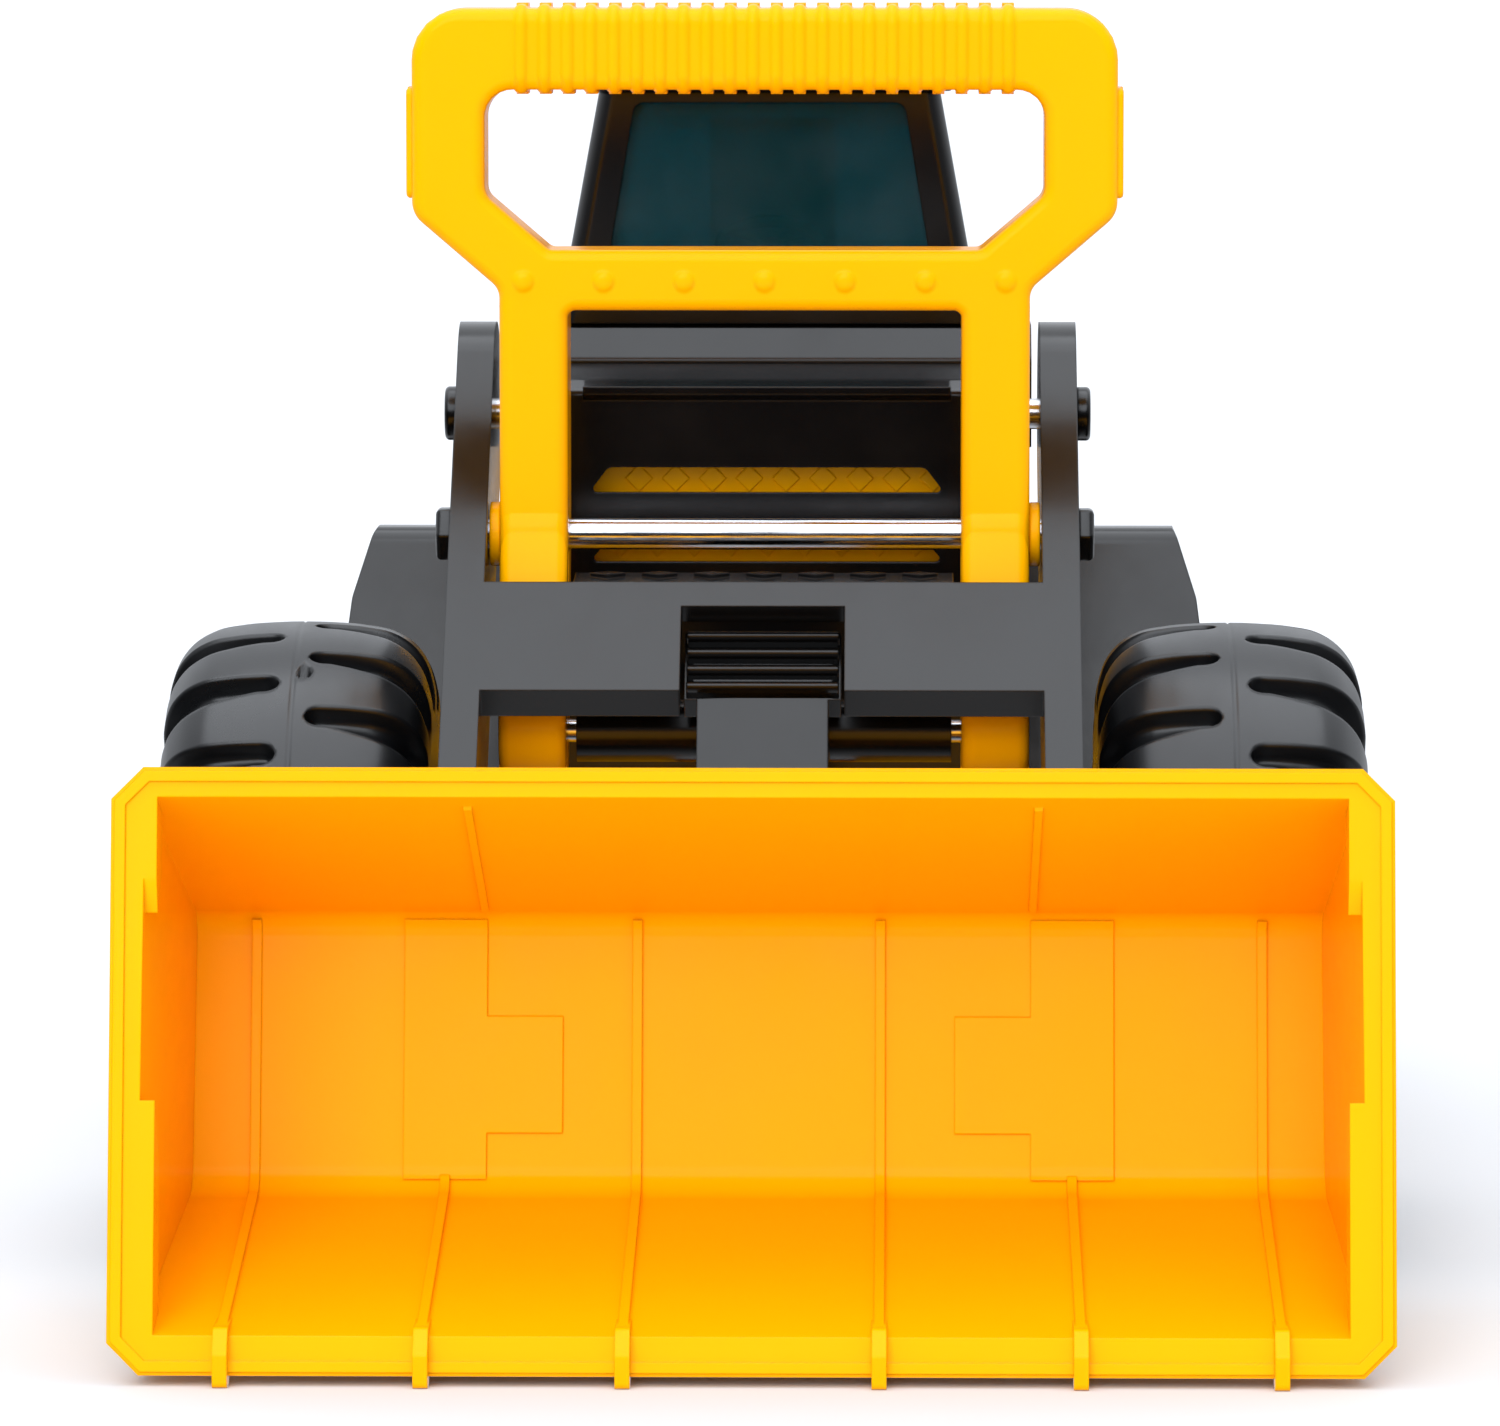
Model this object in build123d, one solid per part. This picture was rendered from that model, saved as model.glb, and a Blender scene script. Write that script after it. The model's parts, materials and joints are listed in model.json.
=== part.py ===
from build123d import *
import math
import os

# Toy front loader, in millimetres. -Y towards the bucket's mouth, +X to the right when looking at the mouth,
# +Z up, floor at Z = 0, origin under the middle of the whole.

# ---- Driving dimensions ----
RUNNING = 0.05          # radial clearance of a shaft that turns in its bore
WALL = 3.0              # usual moulded wall

# Pivots as (y, z); the lever, the link, the bucket and the boom form a parallelogram
BOOM_PIVOT = (-32.0, 210.0)
LEVER_PIVOT = (-78.0, 182.0)
BUCKET_PIVOT = (-148.0, 75.0)
LINK_OFFSET = (-15.0, -49.0)
LINK_TOP = (LEVER_PIVOT[0] + LINK_OFFSET[0], LEVER_PIVOT[1] + LINK_OFFSET[1])
LINK_FOOT = (BUCKET_PIVOT[0] + LINK_OFFSET[0], BUCKET_PIVOT[1] + LINK_OFFSET[1])
ROD_RADIUS = 4.0
PIN_RADIUS = 3.0

# Wheels
WHEEL_RADIUS = 79.0
BEAD_RADIUS = 40.0
FRONT_AXLE_Y = -65.0
REAR_AXLE_Y = 175.0
FRONT_TRACK_HALF = 119.0
REAR_TRACK_HALF = 77.5

# Bucket
BUCKET_HALF = 150.0
BUCKET_WALL = 2.8
MOUTH_LOW = (-300.0, 2.4)
MOUTH_HIGH = (-274.0, 142.0)
RIM_WIDTH = 7.0
LIP_HEIGHT = 9.3
HEEL = (-188.0, 29.0)
BACK_TOP = (-174.0, 95.0)
RIB_PLACES = (29.8, 76.7, 123.3)

# Boom
ARM_INNER = 70.5
ARM_OUTER = 80.0
SLOPE_START = (-150.0, 131.0)
SLOPE_ANGLE = math.radians(43.5)
PLATE_LOW = 23.3
PLATE_HIGH = 59.6
RECESS_HALF = 20.6
RECESS_TOP = 51.5

# Lever
LEVER_FRONT = -90.0
LEVER_REAR = -66.0
LEVER_TOP = 316.0
LEG_INNER = 50.0
LEG_OUTER = 67.4
RIDGE_COUNT = 22
RIDGE_PITCH = 5.88
RIDGE_PROUD = 1.3

# Chassis, tower and cab
BODY_HALF = 66.0
REAR_HALF = 42.0
BELLY_Z = 55.0
MID_REAR_Y = 72.0
REAR_END_Y = 285.0
CAB_BASE_HALF = 69.0
TOWER_FRONT = -48.0
TOWER_TOP = 219.5

# Cab pillars at the sill and under the roof, as (half width, y front, y back)
CAB_LOW = (56.0, -6.0, 88.0)
CAB_HIGH = (45.0, -1.0, 82.0)
CAB_FLOOR = 232.0
CAB_CEILING = 293.0

# Rear fenders
FENDER_INNER = 56.3
FENDER_OUTER = 119.0
FENDER_LOW = 104.0


# ---- Helpers ----
def outline(points, radii=0):
    """A flat face through the points, its corners rounded by one radius or by a list of them."""
    if radii == 0:
        return Polygon(*points, align=None)
    return make_face(FilletPolyline(*points, radius=radii, close=True))


def side(face, x0, x1):
    """A side outline, drawn in (y, z), made solid from x0 to x1."""
    placed = Plane((x0, 0, 0), x_dir=(0, 1, 0), z_dir=(1, 0, 0)) * face
    return extrude(placed, amount=x1 - x0, dir=(1, 0, 0))


def front(face, y0, y1):
    """A front outline, drawn in (x, z), made solid from y0 to y1."""
    placed = Plane((0, y1, 0), x_dir=(1, 0, 0), z_dir=(0, -1, 0)) * face
    return extrude(placed, amount=y1 - y0, dir=(0, -1, 0))


def plan(face, z0, z1):
    """A plan outline, drawn in (x, y), made solid from z0 to z1."""
    return extrude(Plane((0, 0, z0)) * face, amount=z1 - z0, dir=(0, 0, 1))


def block(x0, x1, y0, y1, z0, z1):
    """A box between two corners."""
    centre = Pos((x0 + x1) / 2, (y0 + y1) / 2, (z0 + z1) / 2)
    return centre * Box(x1 - x0, y1 - y0, z1 - z0)


def rod(place, radius, x0, x1):
    """A round bar along X through place, which is (y, z)."""
    plane = Plane((x0, *place), x_dir=(0, 1, 0), z_dir=(1, 0, 0))
    return plane * Cylinder(radius, x1 - x0, align=(Align.CENTER, Align.CENTER, Align.MIN))


def hexagon(place, radius, x0, x1):
    """A hexagonal bar along X with this corner radius."""
    plane = Plane((x0, *place), x_dir=(0, 1, 0), z_dir=(1, 0, 0))
    return plane * extrude(RegularPolygon(radius, 6), amount=x1 - x0)


def pair(shape):
    """The shape and its mirror image across the middle plane."""
    return shape + mirror(shape, about=Plane.YZ)


def save(shape, node):
    """Writes one node."""
    shape.label = node
    export_step(shape, f"parts/{node}.step")


def slope(along, depth):
    """The (y, z) of a point along the boom's front plane and this deep behind it."""
    c = math.cos(SLOPE_ANGLE)
    s = math.sin(SLOPE_ANGLE)
    return (SLOPE_START[0] + along * c + depth * s, SLOPE_START[1] + along * s - depth * c)


def blend_points(start, end, share):
    """The point this share of the way from start to end."""
    return tuple(a + (b - a) * share for a, b in zip(start, end))


# ---- Bucket ----
def mouth_plane():
    """The plane of the bucket's mouth: local x is X, local y runs up the mouth from the lip."""
    rise = math.atan2(MOUTH_HIGH[0] - MOUTH_LOW[0], MOUTH_HIGH[1] - MOUTH_LOW[1])
    return Plane((0, *MOUTH_LOW), x_dir=(1, 0, 0), z_dir=(0, -math.cos(rise), math.sin(rise)))


def mouth_height():
    """The length of the mouth from the lip's lower edge to the rim's top edge."""
    return math.dist(MOUTH_LOW, MOUTH_HIGH)


def mouth_point(height):
    """The (y, z) of a point on the mouth's plane."""
    return blend_points(MOUTH_LOW, MOUTH_HIGH, height / mouth_height())


def bucket_profile(inset):
    """The hollow's side outline, drawn in by inset, running out past the mouth."""
    floor_front = mouth_point(LIP_HEIGHT)
    roof_front = mouth_point(mouth_height() - RIM_WIDTH)
    reach = 1.12
    start = blend_points(HEEL, floor_front, reach)
    end = blend_points(BACK_TOP, roof_front, reach)
    face = outline([start, HEEL, BACK_TOP, end], [0, 9, 6, 0])
    if inset == 0:
        return face
    return offset(face, amount=-inset, kind=Kind.INTERSECTION)


def bucket_wedge(inset, y_front=-320.0, y_back=-120.0):
    """The space between the bucket's side walls, which close in slightly towards the back."""
    mouth = BUCKET_HALF - RIM_WIDTH + 0.9 - inset
    back = mouth - 9.0 + 0.9
    face = outline([(-mouth, y_front), (mouth, y_front), (back, y_back), (-back, y_back)])
    return plan(face, -20, 170)


def behind_mouth():
    """Everything on the loader's side of the mouth's plane."""
    return mouth_plane() * block(-200, 200, -60, 260, -300, 0)


def bucket_shell():
    """The bucket's thin shell, with its rim, ribs, teeth, pads, ears and lugs."""
    hollow = side(bucket_profile(0), -200, 200) & bucket_wedge(0)
    outer = side(bucket_profile(-BUCKET_WALL), -200, 200) & bucket_wedge(-BUCKET_WALL)
    shell = outer & behind_mouth()
    height = mouth_height()
    corner = 7.5
    half = BUCKET_HALF
    rim_outline = outline(
        [
            (-half + corner, 0), (half - corner, 0), (half, corner), (half, height - corner),
            (half - corner, height), (-half + corner, height), (-half, height - corner), (-half, corner),
        ]
    )
    rim = mouth_plane() * plan(rim_outline, -3.2, 0)
    bead_face = offset(rim_outline, amount=-0.8) - offset(rim_outline, amount=-3.4)
    bead = mouth_plane() * plan(bead_face, -1, 0.8)
    shell = (shell + rim + bead) - hollow
    shell += bucket_ribs() + bucket_pads() + bucket_cheeks()
    shell += bucket_ears()
    bores = rod(BUCKET_PIVOT, ROD_RADIUS + RUNNING, -90, 90) + rod(LINK_FOOT, PIN_RADIUS, -40, 40)
    return shell - bores


def bucket_ribs():
    """Ribs up the floor and back wall, each ending in a tooth over the lip."""
    lining = bucket_profile(-0.4) - bucket_profile(1.5)
    inside = behind_mouth() & bucket_wedge(0)
    tooth = outline(
        [(-304, 0), (-297, 0), (-286, 10), (-284, 13.6), (-300, 13.8), (-304, 8)], [1.6, 1, 2, 1, 2, 2]
    )
    below_crease = block(-200, 200, -330, -150, -10, 94.5)
    floor_only = block(-200, 200, -330, -150, -10, 33)
    shapes = []
    for place, reach in zip(RIB_PLACES, (below_crease, floor_only, below_crease)):
        for x in (-place, place):
            strip = side(lining, x - 1.2, x + 1.2) & inside & reach
            shapes.append(strip + side(tooth, x - 1.75, x + 1.75))
    return Part() + shapes


def bucket_pads():
    """The raised pads on the back wall over the pivot ears, and the panel lines above the crease."""
    lining = bucket_profile(-0.4) - bucket_profile(1.0)
    back = block(66.6, 87, -200, -165, 32, 94.5) + block(48, 67, -200, -165, 43, 71)
    pads = side(lining, 0, 140) & back
    panel = side(bucket_profile(-0.4) - bucket_profile(0.9), 66, 68)
    panel = panel & block(0, 100, -268, -180, 97, 134)
    return pair(pads + panel)


def inside_mouth(height, depth):
    """The (y, z) of a point this high up the mouth and this deep behind its plane."""
    rise = math.atan2(MOUTH_HIGH[0] - MOUTH_LOW[0], MOUTH_HIGH[1] - MOUTH_LOW[1])
    y, z = mouth_point(height)
    return (y + depth * math.cos(rise), z - depth * math.sin(rise))


def bucket_cheeks():
    """The thick strips just inside the rim at the top and bottom of each side wall."""
    edge = BUCKET_HALF - RIM_WIDTH
    low = [inside_mouth(h, d) for h, d in ((4, 0), (4, 15), (50, 15), (64, 4), (64, 0))]
    high = [inside_mouth(h, d) for h, d in ((116, 0), (108, 4), (118, 15), (137, 15), (137, 0))]
    strips = side(outline(low) + outline(high), edge - 3.8, edge + 0.8)
    return pair(strips)


def bucket_ears():
    """Two outer ears on the arms' rod and two inner lugs for the tilt link."""
    ear = outline([(-187, 50), (-176, 98), (-150, 87), (-142, 64.5)]) + Pos(*BUCKET_PIVOT) * Circle(12)
    lug = outline([(-191, 20), (-184, 52), (-164, 34), (-158, 20)]) + Pos(*LINK_FOOT) * Circle(8)
    outside = side(bucket_profile(-1.0), -200, 200)
    return pair((side(ear, 61, 69) + side(lug, 19, 24)) - outside)


# ---- Boom ----
def boom_frame():
    """Two side arms joined by the sloping crossplate."""
    top_front = slope(0, 0)
    tangent = slope(112.0 + 27.6, 0)
    arm = outline(
        [(-160, 75), (-160, 121.5), top_front, tangent, (-15.6, 192.7), (-90, 124), (-136, 75)],
        [0, 6, 14, 0, 0, 18, 0],
    )
    arm = arm + Pos(*BOOM_PIVOT) * Circle(23.9) + Pos(*BUCKET_PIVOT) * Circle(12)
    arms = pair(side(arm, ARM_INNER, ARM_OUTER))
    corners = ((PLATE_LOW, 0), (PLATE_HIGH, 0), (PLATE_HIGH, WALL), (PLATE_LOW, WALL))
    plate = side(outline([slope(*corner) for corner in corners]), -ARM_INNER, ARM_INNER)
    recess = outline([slope(10, -5), slope(RECESS_TOP, -5), slope(RECESS_TOP, 14), slope(10, 14)])
    plate -= side(recess, -RECESS_HALF, RECESS_HALF)
    return boom_bores(arms + plate + boom_flanges())


def sloping_strip(start, end, deep):
    """A strip behind the crossplate's face between two places along the slope."""
    return outline([slope(start, 0.5), slope(end, 0.5), slope(end, deep), slope(start, deep)])


def boom_flanges():
    """Stiffening walls behind the crossplate, and the bumpy deck behind its top edge."""
    deep = 10.0
    low = sloping_strip(PLATE_LOW, PLATE_LOW + 2.6, deep)
    corners = ((PLATE_LOW, 0.5), (PLATE_HIGH - 2, 0.5), (PLATE_HIGH - 6, deep), (PLATE_LOW, deep))
    cheek = outline([slope(*corner) for corner in corners])
    lip = sloping_strip(RECESS_TOP, RECESS_TOP + 2.4, 6)
    top = slope(PLATE_HIGH, 0)
    deck = outline([(top[0], top[1] - 2.6), (top[0], top[1]), (-90, 173), (-90, 170)])
    walls = pair(side(low, RECESS_HALF, ARM_INNER) + side(cheek, RECESS_HALF, RECESS_HALF + 2.4))
    walls += side(lip, -RECESS_HALF, RECESS_HALF) + side(deck, -48, 48)
    for index in range(-3, 4):
        bump = Pos(index * 13.2, -98, 172.9) * Rot(0, 0, 45) * Box(6.4, 6.4, 1.6)
        walls += bump
    return walls


def boom_bores(frame):
    """Seats for the three rods: the rods are held by the arms."""
    for place in (BOOM_PIVOT, LEVER_PIVOT, BUCKET_PIVOT):
        clearance = RUNNING if place == BOOM_PIVOT else 0.0
        frame -= rod(place, ROD_RADIUS + clearance, -90, 90)
    return frame


def rod_caps(place, radius, x0, x1):
    """A domed round cap on each end of a rod; the rod's end sits in it."""
    cap = rod(place, radius, x0, x1)
    cap = fillet(cap.faces().sort_by(Axis.X)[-1].edges(), 1.2)
    return pair(cap - rod(place, ROD_RADIUS, x0 - 1, x1 - 1.6))


def hex_caps(place, x0, x1):
    """A chamfered hexagonal cap on each end of a rod."""
    cap = hexagon(place, 7.5, x0, x1)
    cap = chamfer(cap.faces().sort_by(Axis.X)[-1].edges(), 0.8)
    return pair(cap - rod(place, ROD_RADIUS, x0 - 1, x1 - 1.0))


def lever_bushes():
    """The collars between the lever's legs and the arms."""
    collar = rod(LEVER_PIVOT, 8.2, LEG_OUTER, ARM_INNER - 0.3)
    return pair(collar - rod(LEVER_PIVOT, ROD_RADIUS + RUNNING, 60, 75))


# ---- Lever ----
def lever_face():
    """The lever's front outline above its rod: ring handle, band and the tops of the legs."""
    half = LEG_OUTER
    handle = outline(
        [
            (-89.5, 264), (-89.5, LEVER_TOP), (89.5, LEVER_TOP), (89.5, 264),
            (half, 245), (half, 176), (-half, 176), (-half, 245),
        ],
        [6, 13, 13, 6, 4, 0, 0, 4],
    )
    fingers = outline(
        [(-54.7, 255), (-71, 269), (-71, 295.5), (71, 295.5), (71, 269), (54.7, 255)],
        [3, 4, 7, 7, 4, 3],
    )
    edge = LEG_INNER
    window = outline([(-edge, 160), (-edge, 239.6), (edge, 239.6), (edge, 160)], [0, 2, 2, 0])
    return handle - fingers - window


def lever_solid(inset):
    """The lever's whole outside, or the same drawn in by inset to hollow it."""
    face = lever_face()
    if inset:
        face = offset(face, amount=-inset, kind=Kind.INTERSECTION)
    body = front(face, LEVER_FRONT + inset, LEVER_REAR - inset)
    body &= block(-100, 100, -120, -40, LEVER_PIVOT[1], 330)
    half = 12.0 - inset
    leg = outline(leg_sides(half)) + Pos(*LEVER_PIVOT) * Circle(half) + Pos(*LINK_TOP) * Circle(half)
    legs = pair(side(leg, LEG_INNER + inset, LEG_OUTER - inset))
    return body + legs


def leg_sides(half):
    """The straight part of a leg between the lever's rod and the link's pin."""
    length = math.hypot(*LINK_OFFSET)
    across = (LINK_OFFSET[1] / length * half, -LINK_OFFSET[0] / length * half)
    corners = []
    for place, sign in ((LEVER_PIVOT, 1), (LINK_TOP, 1), (LINK_TOP, -1), (LEVER_PIVOT, -1)):
        corners.append((place[0] + sign * across[0], place[1] + sign * across[1]))
    return corners


def lever_parting():
    """Everything in front of the surface that parts the lever's two shells."""
    foot = blend_points(LEVER_PIVOT, LINK_TOP, 1.5)
    face = outline([(-160, 340), (-78, 340), LEVER_PIVOT, foot, (-160, foot[1])])
    return side(face, -120, 120)


def lever_bosses():
    """Solid bosses round the rod and pin, and posts for the screws."""
    bosses = Part()
    for place, radius in ((LEVER_PIVOT, 9), (LINK_TOP, 8)):
        bosses += pair(rod(place, radius, LEG_INNER + 1, LEG_OUTER - 1))
    for x, z in lever_screw_places():
        bosses += front(Pos(x, z) * Circle(4.2), LEVER_FRONT + 1, LEVER_REAR - 1)
    return bosses


def lever_screw_places():
    """Where the screws join the lever's shells: both upper corners, the band and the legs."""
    places = ((80, 304), (80, 272), (58, 247), (58.7, 205))
    return [(hand * x, z) for x, z in places for hand in (1, -1)]


def grip_section(grow):
    """The grip's section drawn in (y, z), grown all round."""
    low, high = 295.5 - grow, LEVER_TOP + grow
    near, far = LEVER_FRONT - grow, LEVER_REAR + grow
    return [(near, low), (near, high), (far, high), (far, low)]


def lever_details():
    """Grip ridges, side pads and rivet heads."""
    shapes = []
    ring = outline(grip_section(RIDGE_PROUD), 4) - outline(grip_section(-1.0))
    for index in range(RIDGE_COUNT):
        x = (index - (RIDGE_COUNT - 1) / 2) * RIDGE_PITCH
        shapes.append(side(ring, x - 1.5, x + 1.5))
    for index in range(-3, 4):
        spot = Pos(index * 20.4, 247)
        shapes.append(front(spot * Circle(2.3), LEVER_FRONT - 0.8, LEVER_FRONT + 0.5))
    return Part() + shapes + [pair(block(88, 91, -87, -69, 268, 296))]


def lever_shells():
    """The lever's front and rear shells, hollow, with screw holes in the rear one."""
    hollow = lever_solid(2.6)
    body = (lever_solid(0) + lever_details() - hollow) + lever_bosses()
    body -= rod(LEVER_PIVOT, ROD_RADIUS + RUNNING, -90, 90) + rod(LINK_TOP, PIN_RADIUS, -90, 90)
    for x, z in lever_screw_places():
        body -= front(Pos(x, z) * Circle(1.5), -84, LEVER_REAR + 5)
        body -= front(Pos(x, z) * Circle(3.1), LEVER_REAR - 2.4, LEVER_REAR + 5)
    parting = lever_parting()
    return body & parting, body - parting


def lever_screws():
    """Pan-head screws that join the lever's shells, each with a cross-slot."""
    head = LEVER_REAR - 0.8
    shapes = []
    for x, z in lever_screw_places():
        spot = Pos(x, z)
        screw = front(spot * Circle(1.5), -84, head) + front(spot * Circle(3.1), head - 1.6, head)
        slot = front(spot * (Rectangle(3.6, 0.8) + Rectangle(0.8, 3.6)), head - 0.9, head + 1)
        shapes.append(screw - slot)
    return Part() + shapes


# ---- Tilt link ----
def tilt_link():
    """The T-shaped link: crossbar between the lever's legs, flanged stem, and a ribbed tail."""
    tail = [slope(30, 11.2), slope(52, 11.2), slope(52, 19)]
    stem = outline([(-170, 30), tail[0], tail[1], tail[2], (-87, 138), (-88, 127), (-157, 22)])
    hub = Pos(*LINK_FOOT) * Circle(7)
    body = side(stem + Pos(*LINK_FOOT) * Circle(8), -16.5, 16.5)
    scoop = outline([(-152, 44), (-116, 126), (-101, 126), (-147, 40)])
    body -= side(scoop, 2, 16) + side(scoop, -16, -2)
    body += side(hub, -18.6, 18.6) + rod(LINK_TOP, 8, -47.6, 47.6)
    pad = side(outline([slope(30, 11.2), slope(52, 11.2), slope(52, 18), slope(30, 18)]), -19.7, 19.7)
    for index in range(3):
        along = 31.5 + index * 5.2
        tooth = outline([slope(along, 11.6), slope(along + 4.2, 11.6), slope(along + 3.6, 9.4)])
        pad += side(tooth, -17.5, 17.5)
    pad -= side(outline([slope(47.8, 9), slope(51, 9), slope(51, 14), slope(47.8, 14)]), -15, 15)
    body += pad
    bores = rod(LINK_TOP, PIN_RADIUS + RUNNING, -60, 60) + rod(LINK_FOOT, PIN_RADIUS + 0.3, -40, 40)
    return body - bores


# ---- Chassis and body ----
def chassis_frame():
    """The tub: low nose with a slot for the link, bulkhead, middle and narrow rear, open below."""
    nose = block(-BODY_HALF, BODY_HALF, -90, -30, 58, 112)
    nose = chamfer(nose.edges().filter_by(Axis.X).group_by(Axis.Z)[-1].sort_by(Axis.Y)[0], 8)
    middle = block(-BODY_HALF, BODY_HALF, -30, MID_REAR_Y, 58, 200)
    bulkhead = block(-62.5, 62.5, -30, -25, 95, 201.5)
    rear = block(-REAR_HALF, REAR_HALF, MID_REAR_Y, REAR_END_Y, 58, 165)
    tub = nose + middle + rear
    inside = block(-62, 62, -86, -34, 50, 108) + block(-62, 62, -26, 68, 50, 160)
    inside += block(-59.5, 59.5, -26, 68, 50, 196)
    inside += block(-38, 38, 60, 281, 50, 161) + block(-62, 62, -40, -20, 50, 100)
    tub = tub - inside + bulkhead
    tub -= pair(block(62.8, 70, -40, -13, 166.8, 210))
    slot = block(-23, 23, -100, -40, 50, 120)
    tub += block(-26, 26, -88, -37, 58, 111)
    tub -= slot
    for place in (REAR_AXLE_Y, FRONT_AXLE_Y):
        half = REAR_HALF if place == REAR_AXLE_Y else BODY_HALF
        tub += pair(rod((place, WHEEL_RADIUS), 9, half - 14, half))
        tub -= rod((place, WHEEL_RADIUS), ROD_RADIUS, -90, 90)
    for row, z in enumerate((176, 193)):
        for index in range(-4, 5):
            x = index * 9.6 + row * 4.8
            tub += Pos(x, -30, z) * Rot(0, 45, 0) * Box(5.0, 1.8, 5.0)
    return tub


def belly_plate():
    """The flat cover that closes the chassis from below, with recessed screw holes."""
    plate = block(-BODY_HALF, BODY_HALF, -38, MID_REAR_Y, BELLY_Z, 58)
    plate += block(-REAR_HALF, REAR_HALF, MID_REAR_Y, REAR_END_Y, BELLY_Z, 58)
    plate += pair(block(26, BODY_HALF, -90, -38, BELLY_Z, 58))
    for x, y in belly_screw_places():
        plate += Pos(x, y, 61) * Cylinder(5.4, 7)
        plate -= Pos(x, y, 57) * Cylinder(1.6, 20)
        plate -= Pos(x, y, BELLY_Z) * Cylinder(3.6, 4.4)
    return plate


def belly_screw_places():
    """Where the belly plate is screwed on."""
    return [(sx * x, y) for x, y in ((54, -20), (54, 56), (28, 120), (28, 268)) for sx in (-1, 1)]


def belly_screws():
    """Pan-head screws driven up into the chassis."""
    shapes = []
    for x, y in belly_screw_places():
        screw = Pos(x, y, BELLY_Z + 1.5) * Cylinder(3.1, 1.4) + Pos(x, y, BELLY_Z + 6) * Cylinder(1.6, 9)
        screw -= Pos(x, y, BELLY_Z + 1) * (Box(3.6, 0.8, 1) + Box(0.8, 3.6, 1))
        shapes.append(screw)
    return Part() + shapes


def front_tower():
    """The black cover over the bulkhead, with a lipped top and two slots; it carries the boom's pivot rod."""
    edge = TOWER_FRONT
    top = TOWER_TOP
    skin = outline([(edge, 167), (edge, top - 3), (edge + 5, top), (-13, 222), (-13, 167)], [0, 2, 2, 0, 0])
    hollow = outline(
        [(edge + WALL, 160), (edge + WALL, top - 5), (edge + 7, top - 3), (-10, 219), (-10, 160)]
    )
    cover = side(skin, -BODY_HALF, BODY_HALF) - side(hollow, -BODY_HALF + WALL, BODY_HALF - WALL)
    for low, high in ((190.5, 197.0), (172.5, 178.0)):
        slot = outline([(-46, low), (-41, high), (41, high), (46, low)], [1, 2.5, 2.5, 1])
        cover -= front(slot, -60, -40)
    lip = outline([(edge + 2, top - 6.5), (edge - 2.5, top - 3.5), (edge - 2.5, top - 1.5), (edge + 2, top)])
    cover += side(lip, -47.5, 47.5)
    cover += pair(rod(BOOM_PIVOT, 8, 50, BODY_HALF))
    cover += block(-62, 62, -31.6, -30.1, 112.2, 170)
    cover += block(-BODY_HALF, BODY_HALF, -31.6, -30.1, 167, 170)
    return cover - rod(BOOM_PIVOT, ROD_RADIUS, -90, 90)


def cab_base():
    """The black cowl under the cab, sloped at the front and open below."""
    skin = outline([(-13, 200), (-13, 223), (-5, 232), (93, 232), (95, 228), (95, 200)], [0, 3, 4, 2, 2, 0])
    hollow = outline([(-10, 190), (-10, 222), (-3, 229), (92, 229), (92, 190)])
    base = side(skin, -CAB_BASE_HALF, CAB_BASE_HALF) - side(hollow, -66, 66)
    shoulder = outline([(-3, 232), (3, 246), (84, 246), (90, 232)], [0, 4, 4, 0])
    base += pair(side(shoulder, 56.4, 66))
    base += block(-56, 56, -2, 88, 229, 232)
    return base


def frustum(low, high, z0, z1):
    """A tapering block: low and high are (half width, y0, y1) at z0 and z1."""
    sections = []
    for (half, y0, y1), z in ((low, z0), (high, z1)):
        face = outline([(-half, y0), (half, y0), (half, y1), (-half, y1)], 5)
        sections.append(Plane((0, 0, z)) * face)
    return loft(sections, ruled=True)


def drawn_in(section, amount):
    """A cab section drawn in by this amount."""
    half, y0, y1 = section
    return (half - amount, y0 + amount, y1 - amount)


def cab_frame():
    """Four leaning pillars, joined by a sill and a header."""
    shell = frustum(CAB_LOW, CAB_HIGH, CAB_FLOOR, CAB_CEILING)
    shell -= frustum(drawn_in(CAB_LOW, 3), drawn_in(CAB_HIGH, 3), CAB_FLOOR, CAB_CEILING)
    wind = outline([(-44.5, 236), (44.5, 236), (35.5, 290), (-35.5, 290)], 3)
    shell -= front(wind, -20, 110)
    door = outline([(6, 240), (78, 240), (72, 289), (10, 289)], 4)
    return shell - side(door, -80, 80)


def cab_glazing():
    """The tinted insert that closes all four sides inside the frame."""
    outer = frustum(drawn_in(CAB_LOW, 3.2), drawn_in(CAB_HIGH, 3.2), CAB_FLOOR, CAB_CEILING)
    inner = frustum(drawn_in(CAB_LOW, 4.8), drawn_in(CAB_HIGH, 4.8), CAB_FLOOR, CAB_CEILING)
    return outer - inner


def cab_roof():
    """The roof panel with a raised middle."""
    slab = plan(outline([(-48, -4), (48, -4), (48, 85), (-48, 85)], 8), CAB_CEILING, 300)
    slab = fillet(slab.faces().sort_by(Axis.Z)[-1].edges(), 3)
    crown = plan(outline([(-38, 6), (38, 6), (38, 76), (-38, 76)], 8), 298, 305)
    crown = fillet(crown.faces().sort_by(Axis.Z)[-1].edges(), 3)
    return slab + crown


def seat():
    """The driver's seat: cushion, backrest and pedestal."""
    face = outline([(34, 240), (34, 247), (58, 249), (64, 284), (70, 284), (68, 240)], [2, 3, 2, 3, 3, 2])
    return side(face, -17, 17) + block(-10, 10, 42, 62, CAB_FLOOR, 241)


def dashboard():
    """The console in front of the driver."""
    return side(outline([(0, 232), (0, 247), (8, 249), (14, 240), (14, 232)], [0, 2, 2, 2, 0]), -30, 30)


def steering_plane():
    """The plane of the steering wheel, leaning towards the driver."""
    return Plane((0, 19, 252), x_dir=(1, 0, 0), z_dir=(0, 0.5, 0.866))


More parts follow.
